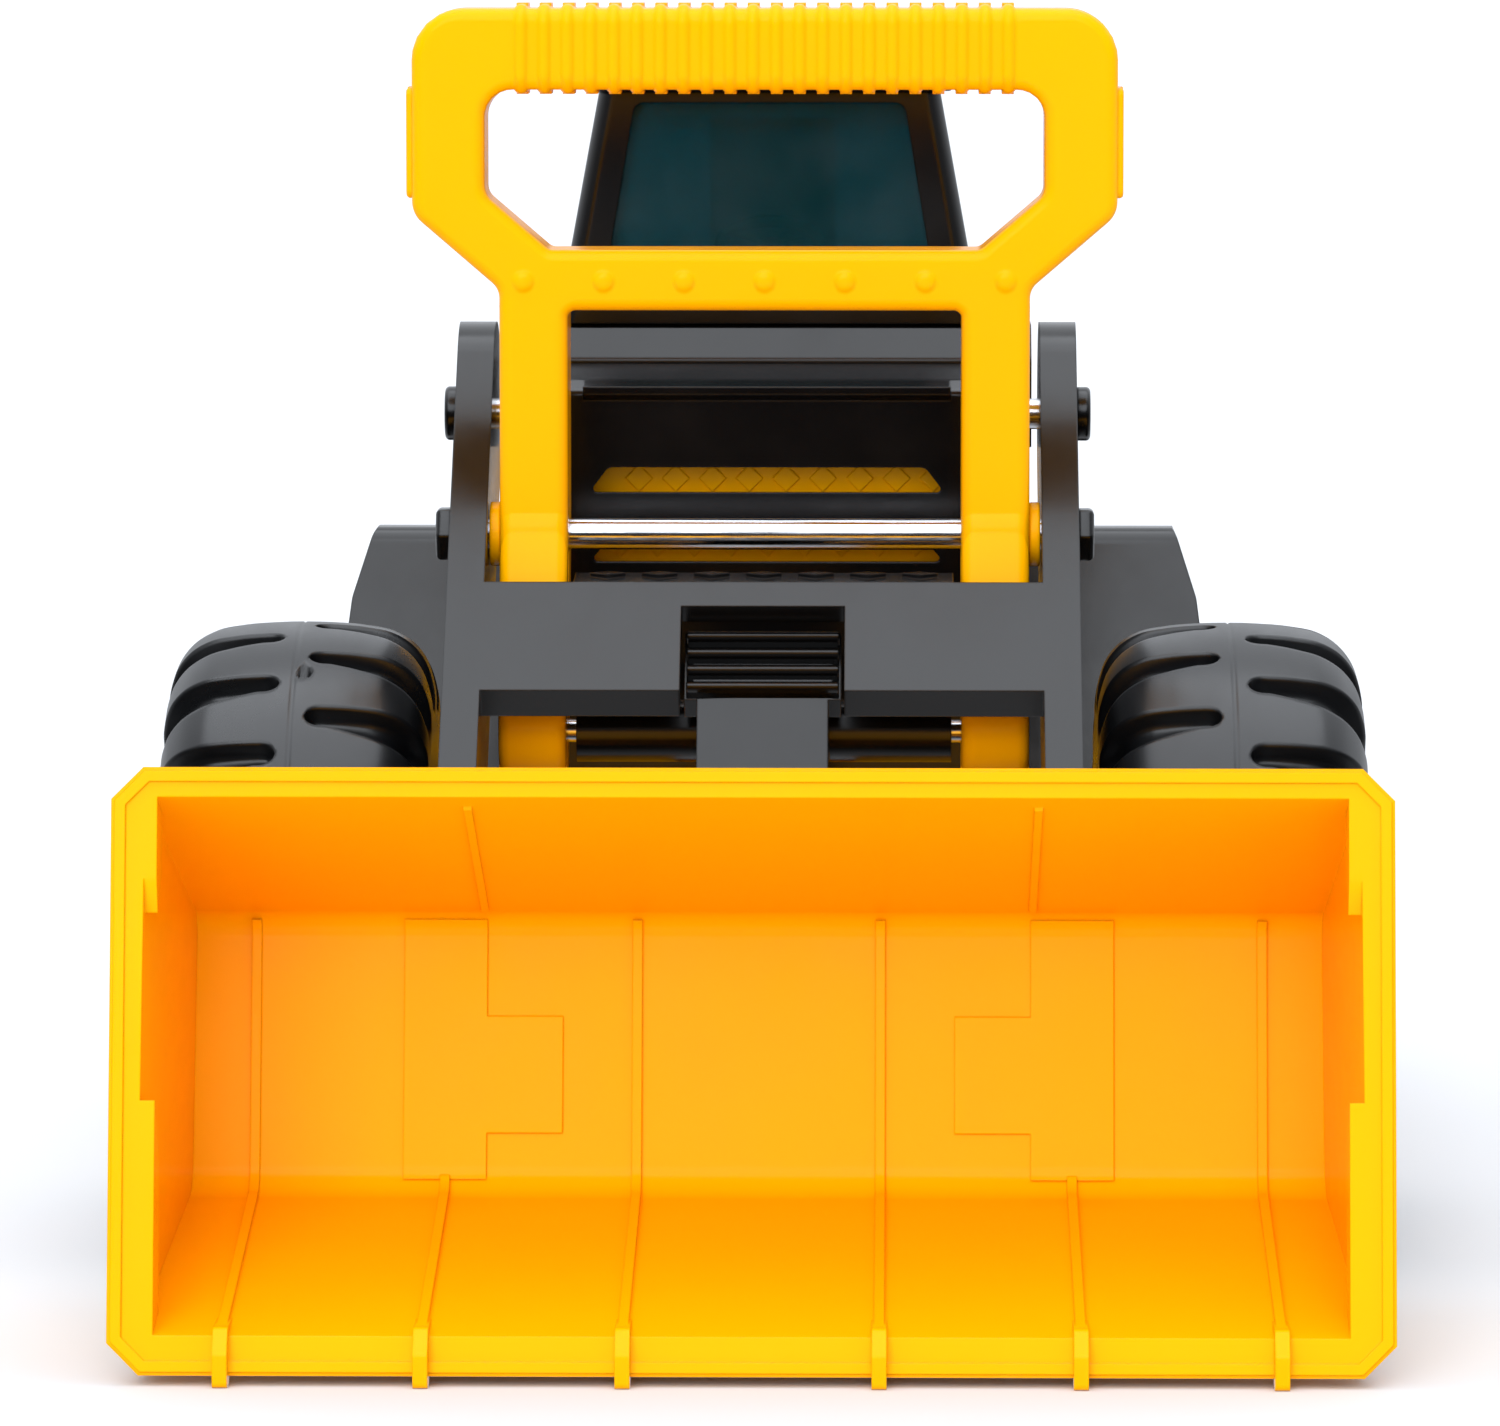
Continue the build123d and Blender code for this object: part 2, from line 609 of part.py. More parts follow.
def steering_column():
    """The column from the console to the wheel."""
    column = steering_plane() * Cylinder(2.4, 14, align=(Align.CENTER, Align.CENTER, Align.MAX))
    return column - block(-20, 20, 0, 14.2, 225, 249.2)


def steering_wheel():
    """A three-spoke steering wheel."""
    ring = Torus(13, 1.7)
    hub = Cylinder(4, 3.2, align=(Align.CENTER, Align.CENTER, Align.MIN))
    spokes = [Rot(0, 0, 90 + turn * 120) * Pos(7.5, 0, 0.9) * Box(11.5, 2.6, 1.8) for turn in range(3)]
    return steering_plane() * (ring + hub + spokes)


def engine_hood():
    """The yellow hood behind the cab, hollow, with openings for the side vents."""
    skin = outline([(95.3, 165), (95.3, 222), (250, 216), (283, 200), (285, 165)], [0, 6, 30, 6, 0])
    hollow = outline([(98.3, 155), (98.3, 219), (249, 213), (280, 198), (282, 155)], [0, 3, 28, 4, 0])
    hood = side(skin, -56, 56) - side(hollow, -53, 53)
    hood -= side(vent_outline(), -60, 60)
    hood -= front(grille_outline(), 270, 300)
    return hood


def vent_outline():
    """The side vents' outline, drawn in (y, z)."""
    return outline([(130, 178), (130, 204), (232, 202), (232, 178)], 4)


def grille_outline():
    """The rear grille's outline, drawn in (x, z)."""
    return outline([(-42, 170), (42, 170), (38, 194), (-38, 194)], 3)


def hood_vents():
    """Louvred black inserts in the hood's two sides."""
    panel = side(vent_outline(), 52, 54.5)
    for index in range(8):
        y = 133.5 + index * 12.2
        louvre = plan(outline([(54, y), (54, y + 8), (56.6, y + 6.8)]), 180.5, 200)
        panel += louvre
    return pair(panel)


def rear_grille():
    """The slatted black insert in the hood's rear face."""
    panel = front(grille_outline(), 279, 282.5)
    for index in range(5):
        z = 172.6 + index * 4.4
        panel += block(-37, 37, 282, 287, z, z + 1.9)
    return panel


def rear_bumper():
    """The black counterweight and bumper at the tail."""
    face = outline([(-60, 100), (60, 100), (60, 150), (52, 164), (-52, 164), (-60, 150)], 5)
    bumper = front(face, REAR_END_Y, 304)
    bumper = chamfer(bumper.faces().sort_by(Axis.Y)[-1].edges(), 4)
    return bumper - front(outline([(-30, 116), (30, 116), (30, 140), (-30, 140)], 5), 298, 310)


def fender_solid(inset):
    """A rear fender's outside, leaning at the front and sloping down to the rear, or the same drawn in."""
    along = outline(
        [
            (70, 90), (72, FENDER_LOW), (93, 171), (120, 169.5),
            (200, 163.5), (262, 152), (282, 126), (282, 90),
        ],
        [0, 0, 7, 8, 12, 14, 8, 0],
    )
    across = outline(
        [(40, 90), (40, 174), (109, 174), (116, 152), (FENDER_OUTER, 128), (FENDER_OUTER, 90)],
        [0, 0, 9, 12, 12, 0],
    )
    if inset:
        along = offset(along, amount=-inset, kind=Kind.INTERSECTION)
        across = offset(across, amount=-inset, kind=Kind.INTERSECTION)
    return side(along, 40, FENDER_OUTER) & front(across, 60, 290)


def rear_fender():
    """One rear fender: top, leaning front wall, skirt with a wheel arch, and rear wall."""
    cover = fender_solid(0) & block(FENDER_INNER, 120, 60, 290, FENDER_LOW, 180)
    cover -= fender_solid(WALL) + block(40, FENDER_OUTER - WALL, 80, 270, 80, 120)
    cover -= rod((REAR_AXLE_Y, WHEEL_RADIUS), WHEEL_RADIUS + 2.5, 50, 130)
    cover -= block(100, 130, 92, 258, 90, 128)
    bracket = block(REAR_HALF + 0.6, FENDER_INNER + 2, 76, 80, FENDER_LOW + 4, 150)
    return cover + bracket


# ---- Wheels ----
def revolved(points, radii, centre, centre_y):
    """A wheel piece: its section, drawn in (x from the wheel's middle, radius), turned about the axle."""
    face = outline([(centre + x, r) for x, r in points], radii)
    solid = revolve(Plane.XZ * face, axis=Axis.X)
    return Pos(0, centre_y, WHEEL_RADIUS) * solid


def tyre(centre, centre_y):
    """A hollow moulded tyre: crowned tread, bulging walls and beads on the rim."""
    bead = BEAD_RADIUS
    crown = WHEEL_RADIUS
    section = [
        (-27, bead), (-27, 43), (-34, 48), (-34, 64), (-27, crown - 2.4), (0, crown),
        (27, crown - 2.4), (34, 64), (34, 48), (27, 43), (27, bead),
        (23, bead), (23, 45), (29, 51), (29, 60), (22, 70),
        (-22, 70), (-29, 60), (-29, 51), (-23, 45), (-23, bead),
    ]
    radii = [0, 2, 5, 9, 7, 60, 7, 9, 5, 2, 0, 0, 2, 3, 4, 4, 4, 4, 3, 2, 0]
    return revolved(section, radii, centre, centre_y)


def rim(centre, centre_y, outward):
    """A dished rim: barrel, web with round windows, and hub."""
    barrel = [(-27, 37), (-27, BEAD_RADIUS), (27, BEAD_RADIUS), (27, 37)]
    web = [(9, 8), (14, 36), (14, 38), (17, 38), (12, 8)]
    hub = [(-12, ROD_RADIUS + RUNNING), (-12, 9), (16, 9), (16, ROD_RADIUS + RUNNING)]
    flip = [[(outward * x, r) for x, r in points] for points in (barrel, web, hub)]
    solid = Part() + [revolved(points, 0, centre, centre_y) for points in flip]
    for index in range(6):
        turn = math.radians(index * 60 + 30)
        spot = (centre_y + 23 * math.cos(turn), WHEEL_RADIUS + 23 * math.sin(turn))
        solid -= rod(spot, 5.5, centre - 30, centre + 30)
    return solid


def hub_cap(centre, centre_y, outward):
    """A domed cap over the axle's end, seated on the hub's outer face."""
    dome = [(16, 0), (16, 13), (20, 12), (25, 7), (26, 0)]
    hollow = [(15, 0), (15, 8.5), (21, 8.5), (21, 0)]
    solid = revolved([(outward * x, r) for x, r in dome], 0, centre, centre_y)
    return solid - revolved([(outward * x, r) for x, r in hollow], 0, centre, centre_y)


def axle_nuts(centre_y, track_half):
    """A push-on retainer on each end of an axle, just outside the hub."""
    nut = rod((centre_y, WHEEL_RADIUS), 7, track_half + 16.6, track_half + 18.6)
    return pair(nut - rod((centre_y, WHEEL_RADIUS), ROD_RADIUS, track_half, track_half + 30))


def build_wheels():
    """All four wheels, each a tyre, a rim and a hub cap."""
    ends = (("front", FRONT_AXLE_Y, FRONT_TRACK_HALF), ("rear", REAR_AXLE_Y, REAR_TRACK_HALF))
    for end, centre_y, track_half in ends:
        for hand, outward in (("left", -1), ("right", 1)):
            centre = outward * track_half
            save(tyre(centre, centre_y), f"{end}_{hand}_tyre")
            save(rim(centre, centre_y, outward), f"{end}_{hand}_rim")
            save(hub_cap(centre, centre_y, outward), f"{end}_{hand}_hub_cap")
        reach = track_half + 19.6
        save(rod((centre_y, WHEEL_RADIUS), ROD_RADIUS, -reach, reach), f"{end}_axle")
        save(axle_nuts(centre_y, track_half), f"{end}_axle_nuts")


def build_front_end():
    """Bucket, boom, lever, link and their rods."""
    save(bucket_shell(), "bucket_shell")
    save(rod(LINK_FOOT, PIN_RADIUS, -24, 24), "link_foot_pin")
    save(boom_frame(), "boom_frame")
    save(rod(LEVER_PIVOT, ROD_RADIUS, -83, 83), "lever_rod")
    save(hex_caps(LEVER_PIVOT, ARM_OUTER, 84), "lever_rod_caps")
    save(pair(rod(BUCKET_PIVOT, ROD_RADIUS, 58, 82.4)), "bucket_pivot_pins")
    save(rod_caps(BUCKET_PIVOT, 7, ARM_OUTER, 84), "bucket_pin_caps")
    save(rod(BOOM_PIVOT, ROD_RADIUS, -82.4, 82.4), "boom_rod")
    save(rod_caps(BOOM_PIVOT, 7, ARM_OUTER + 0.3, 84), "boom_rod_caps")
    save(lever_bushes(), "lever_bushes")
    front_shell, rear_shell = lever_shells()
    save(front_shell, "lever_front_shell")
    save(rear_shell, "lever_rear_shell")
    save(lever_screws(), "lever_screws")
    save(rod(LINK_TOP, PIN_RADIUS, -66, 66), "link_top_pin")
    save(tilt_link(), "tilt_link")


def build_body():
    """Chassis, tower, cab and tail."""
    save(chassis_frame(), "chassis_frame")
    save(belly_plate(), "belly_plate")
    save(belly_screws(), "belly_screws")
    save(front_tower(), "front_tower")
    save(cab_base(), "cab_base")
    save(cab_frame(), "cab_frame")
    save(cab_glazing(), "cab_glazing")
    save(cab_roof(), "cab_roof")
    save(seat(), "seat")
    save(dashboard(), "dashboard")
    save(steering_column(), "steering_column")
    save(steering_wheel(), "steering_wheel")
    save(engine_hood(), "engine_hood")
    save(hood_vents(), "hood_vents")
    save(rear_grille(), "rear_grille")
    save(rear_bumper(), "rear_bumper")
    save(rear_fender(), "right_rear_fender")
    save(mirror(rear_fender(), about=Plane.YZ), "left_rear_fender")


os.makedirs("parts", exist_ok=True)
build_front_end()
build_body()
build_wheels()
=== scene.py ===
"""Looks of the toy front loader: studio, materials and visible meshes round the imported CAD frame."""
import json
import math

import bmesh
import bpy
import numpy as np
from mathutils import Matrix, Vector
from mathutils.geometry import tessellate_polygon


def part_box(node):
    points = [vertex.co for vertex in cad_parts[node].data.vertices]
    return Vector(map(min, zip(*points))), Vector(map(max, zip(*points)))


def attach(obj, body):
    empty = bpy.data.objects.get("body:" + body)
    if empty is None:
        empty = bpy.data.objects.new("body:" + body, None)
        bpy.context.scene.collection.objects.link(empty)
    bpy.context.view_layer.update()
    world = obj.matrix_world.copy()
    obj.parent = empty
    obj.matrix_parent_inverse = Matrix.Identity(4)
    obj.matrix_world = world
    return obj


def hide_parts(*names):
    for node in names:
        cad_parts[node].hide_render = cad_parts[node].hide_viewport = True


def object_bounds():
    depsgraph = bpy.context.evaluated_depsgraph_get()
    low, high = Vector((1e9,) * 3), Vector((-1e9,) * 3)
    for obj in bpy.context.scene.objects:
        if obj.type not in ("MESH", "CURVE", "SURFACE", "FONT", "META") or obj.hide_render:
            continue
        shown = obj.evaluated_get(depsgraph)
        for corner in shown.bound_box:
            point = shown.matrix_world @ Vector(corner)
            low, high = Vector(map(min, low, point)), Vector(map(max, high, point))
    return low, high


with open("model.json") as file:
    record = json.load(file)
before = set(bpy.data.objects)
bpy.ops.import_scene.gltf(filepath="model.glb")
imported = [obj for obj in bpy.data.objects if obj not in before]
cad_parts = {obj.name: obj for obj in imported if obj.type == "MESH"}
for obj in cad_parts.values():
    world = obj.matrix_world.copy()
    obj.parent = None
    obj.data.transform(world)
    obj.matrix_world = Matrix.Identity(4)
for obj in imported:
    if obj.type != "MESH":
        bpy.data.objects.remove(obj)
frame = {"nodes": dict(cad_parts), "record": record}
cad_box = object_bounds()
NODES = frame["nodes"]
MM = 0.001

# ---- Studio ----
EYE_DISTANCE = 2.0
EYE_HEIGHT = 0.350
EYE_RIGHT = 0.033
EYE_PITCH = math.radians(5.5)
EYE_YAW = math.radians(0.95)
EYE_FORWARD = 0.004
LENS = 209.2
FLOOR_HALF = 60.0
COOL_WHITE = (0.90, 0.94, 1.0)


def make_camera():
    """The camera in front of the bucket, a little above it."""
    data = bpy.data.cameras.new("eye")
    data.lens = LENS
    data.clip_end = 200
    eye = bpy.data.objects.new("eye", data)
    eye.location = (EYE_RIGHT, cad_box[0].y - EYE_DISTANCE + EYE_FORWARD, EYE_HEIGHT)
    eye.rotation_euler = (math.pi / 2 - EYE_PITCH, 0, EYE_YAW)
    bpy.context.collection.objects.link(eye)
    bpy.context.scene.camera = eye


def aim(obj, target):
    """Turns a light towards a point."""
    direction = Vector(target) - obj.location
    obj.rotation_euler = direction.to_track_quat("-Z", "Y").to_euler()


def sun_light(name, place, strength, spread):
    """A far light with soft edges, which lights the floor evenly however far it runs."""
    data = bpy.data.lights.new(name, "SUN")
    data.energy = strength
    data.angle = math.radians(spread)
    data.color = COOL_WHITE
    lamp = bpy.data.objects.new(name, data)
    lamp.location = place
    bpy.context.collection.objects.link(lamp)
    aim(lamp, (0, 0, 0))
    return lamp


def make_world():
    """Soft surroundings that fade to near dark low in front, so upright black faces stay dark."""
    world = bpy.data.worlds.new("studio")
    world.use_nodes = True
    tree = world.node_tree
    background = tree.nodes["Background"]
    background.inputs["Color"].default_value = (*COOL_WHITE, 1)
    place = node(tree, "ShaderNodeTexCoord")
    split = node(tree, "ShaderNodeSeparateXYZ")
    tree.links.new(place.outputs["Generated"], split.inputs["Vector"])
    above = remap(tree, split.outputs["Z"], 0.05, 0.40, 0.02, 0.50)
    behind = remap(tree, split.outputs["Y"], -0.45, 0.35, 0.0, 0.75)
    strength = node(tree, "ShaderNodeMath", operation="ADD")
    tree.links.new(above, strength.inputs[0])
    tree.links.new(behind, strength.inputs[1])
    tree.links.new(strength.outputs["Value"], background.inputs["Strength"])
    bpy.context.scene.world = world


def make_studio():
    """A pale floor under soft light from above and in front."""
    make_world()
    sun_light("overhead", (0.0, -0.10, 2.0), 1.65, 60)
    sun_light("front", (-0.30, -1.9, 1.45), 1.20, 46)
    fill = sun_light("fill", (-0.20, -2.0, 0.36), 1.90, 40)
    fill.visible_glossy = False
    make_floor()
    view = bpy.context.scene.view_settings
    view.view_transform = "Standard"
    view.look = "None"


def make_floor():
    """A wide flat floor under the object."""
    half = FLOOR_HALF
    corners = [(-half, -half, 0), (half, -half, 0), (half, half, 0), (-half, half, 0)]
    mesh = bpy.data.meshes.new("floor")
    mesh.from_pydata(corners, [], [(0, 1, 2, 3)])
    floor = bpy.data.objects.new("floor", mesh)
    bpy.context.collection.objects.link(floor)
    floor.data.materials.append(floor_material())
    floor.visible_glossy = False


# ---- Material building blocks ----
def new_material(name):
    """An empty node material and its shader."""
    material = bpy.data.materials.new(name)
    material.use_nodes = True
    shader = material.node_tree.nodes["Principled BSDF"]
    return material, material.node_tree, shader


def node(tree, kind, **values):
    """Adds a node; keys that are inputs set the input, others set the node's own property."""
    made = tree.nodes.new(kind)
    for key, value in values.items():
        if key in made.inputs:
            made.inputs[key].default_value = value
        else:
            setattr(made, key, value)
    return made


def noise(tree, scale, detail=3.0, rough=0.55, stretch=None):
    """Noise in the object's own coordinates, in metres."""
    place = node(tree, "ShaderNodeTexCoord")
    source = place.outputs["Object"]
    if stretch:
        mapping = node(tree, "ShaderNodeMapping")
        mapping.inputs["Scale"].default_value = stretch
        tree.links.new(source, mapping.inputs["Vector"])
        source = mapping.outputs["Vector"]
    made = node(tree, "ShaderNodeTexNoise", Scale=scale, Detail=detail, Roughness=rough)
    tree.links.new(source, made.inputs["Vector"])
    return made.outputs["Fac"]


def remap(tree, value, low, high, out_low, out_high):
    """A value stretched from one range to another, clamped."""
    made = node(tree, "ShaderNodeMapRange")
    made.inputs["From Min"].default_value = low
    made.inputs["From Max"].default_value = high
    made.inputs["To Min"].default_value = out_low
    made.inputs["To Max"].default_value = out_high
    tree.links.new(value, made.inputs["Value"])
    return made.outputs["Result"]


def mix_colour(tree, factor, first, second):
    """Mixes two colours; either may be a tuple or a socket."""
    made = node(tree, "ShaderNodeMix", data_type="RGBA")
    tree.links.new(factor, made.inputs["Factor"])
    for socket, colour in ((made.inputs[6], first), (made.inputs[7], second)):
        if isinstance(colour, tuple):
            socket.default_value = (*colour, 1)
        else:
            tree.links.new(colour, socket)
    return made.outputs[2]


def edge_mask(tree, radius):
    """1 on worn edges, 0 on flats: how far the rounded normal leaves the true one."""
    rounded = node(tree, "ShaderNodeBevel", samples=4, Radius=radius)
    plain = node(tree, "ShaderNodeNewGeometry")
    product = node(tree, "ShaderNodeVectorMath", operation="DOT_PRODUCT")
    tree.links.new(rounded.outputs["Normal"], product.inputs[0])
    tree.links.new(plain.outputs["Normal"], product.inputs[1])
    return remap(tree, product.outputs["Value"], 0.99, 0.80, 0.0, 1.0)


def plastic_colour(tree, base, deep, worn):
    """Blotched colour with paler patches on the worn edges."""
    blotch = remap(tree, noise(tree, 14.0, 4.0), 0.35, 0.7, 0.0, 1.0)
    colour = mix_colour(tree, blotch, base, deep)
    wear = edge_mask(tree, 0.0007)
    patchy = node(tree, "ShaderNodeMath", operation="MULTIPLY")
    tree.links.new(wear, patchy.inputs[0])
    tree.links.new(remap(tree, noise(tree, 120.0, 5.0), 0.45, 0.75, 0.0, 0.55), patchy.inputs[1])
    return mix_colour(tree, patchy.outputs["Value"], colour, worn)


def plastic_normal(tree, grain, speckle_scale):
    """Soft mould waves and fine speckle over slightly rounded edges."""
    waves = noise(tree, 22.0, 2.0, 0.4)
    fine = noise(tree, speckle_scale, 3.0, 0.6)
    height = node(tree, "ShaderNodeMath", operation="MULTIPLY_ADD")
    tree.links.new(fine, height.inputs[0])
    height.inputs[1].default_value = grain
    tree.links.new(remap(tree, waves, 0.0, 1.0, 0.0, 0.55), height.inputs[2])
    bump = node(tree, "ShaderNodeBump", Strength=0.35, Distance=0.0006)
    tree.links.new(height.outputs["Value"], bump.inputs["Height"])
    rounded = node(tree, "ShaderNodeBevel", samples=4, Radius=0.0006)
    tree.links.new(rounded.outputs["Normal"], bump.inputs["Normal"])
    return bump.outputs["Normal"]


def plastic(name, colours, rough, specular, grain, speckle_scale):
    """Moulded plastic: uneven colour, soft mould waves, fine speckle, scuffs and slightly worn edges."""
    material, tree, shader = new_material(name)
    tree.links.new(plastic_colour(tree, *colours), shader.inputs["Base Color"])
    scuffs = noise(tree, 38.0, 6.0, 0.62, (1, 0.35, 1))
    smear = remap(tree, scuffs, 0.3, 0.75, rough * 0.82, rough * 1.35)
    tree.links.new(smear, shader.inputs["Roughness"])
    tree.links.new(plastic_normal(tree, grain, speckle_scale), shader.inputs["Normal"])
    shader.inputs["Specular IOR Level"].default_value = specular
    return material


def floor_material():
    """The studio's pale floor."""
    material, tree, shader = new_material("studio_floor")
    tint = remap(tree, noise(tree, 1.5, 2.0), 0.3, 0.7, 0.0, 1.0)
    colour = mix_colour(tree, tint, (0.70, 0.70, 0.705), (0.71, 0.71, 0.71))
    tree.links.new(colour, shader.inputs["Base Color"])
    shader.inputs["Roughness"].default_value = 0.9
    shader.inputs["Specular IOR Level"].default_value = 0.1
    return material


def steel_material():
    """Bright plated steel with faint drawing lines along the rod."""
    material, tree, shader = new_material("plated_steel")
    lines = noise(tree, 900.0, 4.0, 0.6, (0.04, 1, 1))
    tree.links.new(remap(tree, lines, 0.3, 0.7, 0.10, 0.26), shader.inputs["Roughness"])
    tint = remap(tree, noise(tree, 60.0, 4.0), 0.35, 0.7, 0.0, 1.0)
    colour = mix_colour(tree, tint, (0.80, 0.81, 0.83), (0.66, 0.67, 0.70))
    tree.links.new(colour, shader.inputs["Base Color"])
    bump = node(tree, "ShaderNodeBump", Strength=0.2, Distance=0.0002)
    tree.links.new(lines, bump.inputs["Height"])
    tree.links.new(bump.outputs["Normal"], shader.inputs["Normal"])
    shader.inputs["Metallic"].default_value = 1.0
    return material


def glazing_material():
    """Dark teal translucent plastic with faint flow marks."""
    material, tree, shader = new_material("teal_glazing")
    flow = noise(tree, 9.0, 3.0, 0.5, (1, 1, 0.25))
    tint = remap(tree, flow, 0.3, 0.7, 0.0, 1.0)
    colour = mix_colour(tree, tint, (0.0, 0.115, 0.135), (0.0, 0.095, 0.115))
    tree.links.new(colour, shader.inputs["Base Color"])
    tree.links.new(remap(tree, noise(tree, 55.0, 5.0), 0.3, 0.7, 0.05, 0.13), shader.inputs["Roughness"])
    bump = node(tree, "ShaderNodeBump", Strength=0.15, Distance=0.0006)
    tree.links.new(flow, bump.inputs["Height"])
    tree.links.new(bump.outputs["Normal"], shader.inputs["Normal"])
    shader.inputs["Transmission Weight"].default_value = 0.85
    shader.inputs["IOR"].default_value = 1.25
    return material


def make_materials():
    """One finished material for each slot of the record."""
    yellow = ((1.0, 0.440, 0.0), (0.99, 0.428, 0.0), (1.0, 0.50, 0.01))
    black = ((0.0030, 0.0026, 0.0026), (0.0022, 0.0020, 0.0020), (0.016, 0.016, 0.018))
    tyre = ((0.0040, 0.0042, 0.0048), (0.0030, 0.0032, 0.0038), (0.020, 0.021, 0.024))
    orange = ((0.62, 0.17, 0.02), (0.55, 0.14, 0.015), (0.8, 0.3, 0.08))
    made = {"steel": steel_material(), "tinted_glazing": glazing_material()}
    for name, colours, rough, specular, grain, speckle in (
        ("yellow_plastic", yellow, 0.20, 0.08, 0.04, 900.0),
        ("black_plastic", black, 0.20, 0.50, 0.04, 900.0),
        ("tyre_plastic", tyre, 0.30, 0.62, 0.08, 1400.0),
        ("orange_plastic", orange, 0.25, 0.50, 0.05, 900.0),
    ):
        made[name] = plastic(name, colours, rough, specular, grain, speckle)
    return made


# ---- CAD nodes that stay ----
WELD_REACH = 0.00001
EDGE_BEVEL = 0.0005


def dress_cad(materials):
    """Gives each CAD node its material and rounded, cleanly shaded edges."""
    slots = {entry["node"]: entry["material_slot"] for entry in frame["record"]["subparts"]}
    for name, obj in NODES.items():
        obj.data.materials.clear()
        obj.data.materials.append(materials[slots[name]])
        soften(obj)


def soften(obj):
    """Welds the facets, dissolves flats, bevels hard edges and evens the shading."""
    weld = obj.modifiers.new("weld", "WELD")
    weld.merge_threshold = WELD_REACH
    flat = obj.modifiers.new("flat", "DECIMATE")
    flat.decimate_type = "DISSOLVE"
    flat.angle_limit = math.radians(0.6)
    bevel = obj.modifiers.new("bevel", "BEVEL")
    bevel.width = EDGE_BEVEL
    bevel.segments = 2
    bevel.limit_method = "ANGLE"
    bevel.angle_limit = math.radians(32)
    bevel.use_clamp_overlap = True
    obj.data.shade_smooth()
    shade = obj.modifiers.new("shade", "WEIGHTED_NORMAL")
    shade.keep_sharp = True
    shade.weight = 80


# ---- Mesh building blocks ----
def mesh_object(name, points, faces, material):
    """A new smooth mesh object with one material, in metres."""
    mesh = bpy.data.meshes.new(name)
    mesh.from_pydata([tuple(p) for p in points], [], [tuple(f) for f in faces])
    mesh.validate()
    mesh.update()
    obj = bpy.data.objects.new(name, mesh)
    bpy.context.collection.objects.link(obj)
    mesh.materials.append(material)
    mesh.shade_smooth()
    return obj


def ease(t):
    """Smooth step from 0 to 1."""
    t = np.clip(t, 0.0, 1.0)
    return t * t * (3 - 2 * t)


# ---- Tyres ----
TYRE_SCALE = 79.0 / 80.0
GROOVES = 20
GROOVE_DEPTH = 5.6
LEFT_PHASE = 13.6
RIGHT_PHASE = LEFT_PHASE + 9.0
TYRE_SHAPE = (
    (0, 80.0), (8, 79.8), (16, 79.1), (23, 77.6), (28, 74.6), (31.2, 70.6), (33.1, 65.5),
    (34.0, 59.5), (33.9, 53.5), (32.6, 48.6), (30.2, 45.2), (27.6, 43.2), (26.9, 41.6), (26.9, 40.2),
)
GROOVE_TIP = 3.4
GROOVE_FULL = 9.0
FADE_START = 40.0
FADE_END = 49.0
GROOVE_SPOTS = (-1, -0.93, -0.84, -0.76, -0.5, -0.2, 0.1, 0.4, 0.66, 0.8, 0.9, 0.96, 1.0)
GROOVE_SINK = (0, 0.16, 0.62, 0.92, 1.0, 0.99, 0.94, 0.86, 0.74, 0.6, 0.36, 0.1, 0.0)
SIDE_STEPS = 15
SIDE_LIMIT = 33.9
PARTING_GROOVE = 0.4
SEAM_REACH = 0.00002
BORE_RADIUS = 0.0402
BORE_NARROWING = 0.86
VENT_TURN = math.radians(28.0)
VENT_RADIUS = 79.0
VENT_OFFSET = 2.6
VENT_REACH = 0.0021
VENT_DEPTH = 0.003


def tyre_section():
    """Half of the tyre's outline, tread to bead: run, x, radius and the outward direction in x and r."""
    points = np.array(TYRE_SHAPE)
    run = np.concatenate([[0], np.cumsum(np.hypot(*np.diff(points, axis=0).T))])
    want = np.concatenate([np.arange(0, 40, 0.55), np.arange(40, run[-1], 1.3), [run[-1]]])
    smooth_x = cubic(run, points[:, 0], want)
    smooth_r = cubic(run, points[:, 1], want)
    dx, dr = np.gradient(smooth_x, want), np.gradient(smooth_r, want)
    size = np.hypot(dx, dr)
    smooth_r[0] -= PARTING_GROOVE
    smooth_x = np.minimum(smooth_x, SIDE_LIMIT)
    return want, smooth_x, smooth_r * TYRE_SCALE, -dr / size, dx / size


def cubic(x, y, want):
    """A smooth curve through the points, read at want."""
    slope = np.gradient(y, x)
    slope[0] = 0 if y[0] == max(y) else slope[0]
    index = np.clip(np.searchsorted(x, want) - 1, 0, len(x) - 2)
    width = x[index + 1] - x[index]
    t = (want - x[index]) / width
    a = y[index] * (2 * t**3 - 3 * t**2 + 1) + slope[index] * width * (t**3 - 2 * t**2 + t)
    return a + y[index + 1] * (3 * t**2 - 2 * t**3) + slope[index + 1] * width * (t**3 - t**2)


